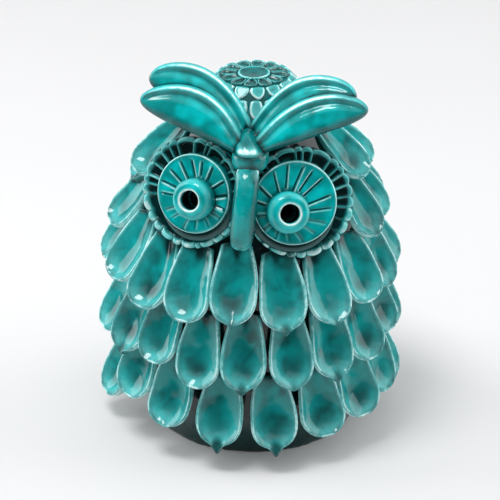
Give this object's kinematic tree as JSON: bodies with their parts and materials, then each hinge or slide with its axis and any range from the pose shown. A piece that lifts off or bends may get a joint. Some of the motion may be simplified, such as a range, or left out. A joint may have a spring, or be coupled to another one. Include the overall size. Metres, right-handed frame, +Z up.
{
  "type": "figural animal coin bank",
  "caption": "Hollow glazed pottery owl coin bank with applied clay feathers, a slot in the back of the head and a rubber stopper in the base.",
  "frame": {"origin": "centre of the foot ring, on the surface it stands on", "axes": "+Z up, the owl faces -Y, +X is to the right as seen from the front"},
  "size_m": [0.1576, 0.154, 0.2088],
  "materials": {
    "glaze": "high-gloss teal glaze on fired clay",
    "glaze_light": "high-gloss teal glaze, thinner and paler over edges",
    "bare_clay": "unglazed fired clay",
    "stopper_rubber": "matte moulded rubber"
  },
  "bodies": {
    "bank": {"body_shell": "glaze", "base_plate": "bare_clay", "crown_cap": "glaze", "crown_button": "glaze_light", "crown_top_petals": "glaze", "crown_rim_petals": "glaze", "crown_skirt_petals": "glaze", "beak_bridge": "glaze", "beak": "glaze", "brow_lower_left": "glaze", "brow_lower_right": "glaze", "brow_upper_left": "glaze", "brow_upper_right": "glaze", "eye_socket_left": "glaze", "eye_socket_right": "glaze", "socket_rim_left": "glaze_light", "socket_rim_right": "glaze_light", "iris_left": "glaze_light", "iris_right": "glaze_light", "pupil_left": "glaze", "pupil_right": "glaze", "feather_row_1": "glaze", "feather_row_2": "glaze", "feather_row_3": "glaze", "feather_row_4": "glaze", "feather_row_5": "glaze"},
    "stopper": {"stopper": "stopper_rubber", "stopper_grip": "stopper_rubber"}
  },
  "joints": [
    {"name": "stopper_pull", "type": "slide", "parent": "bank", "child": "stopper", "axis": [0, 0, -1], "range_m": [0, 0.025]}
  ]
}
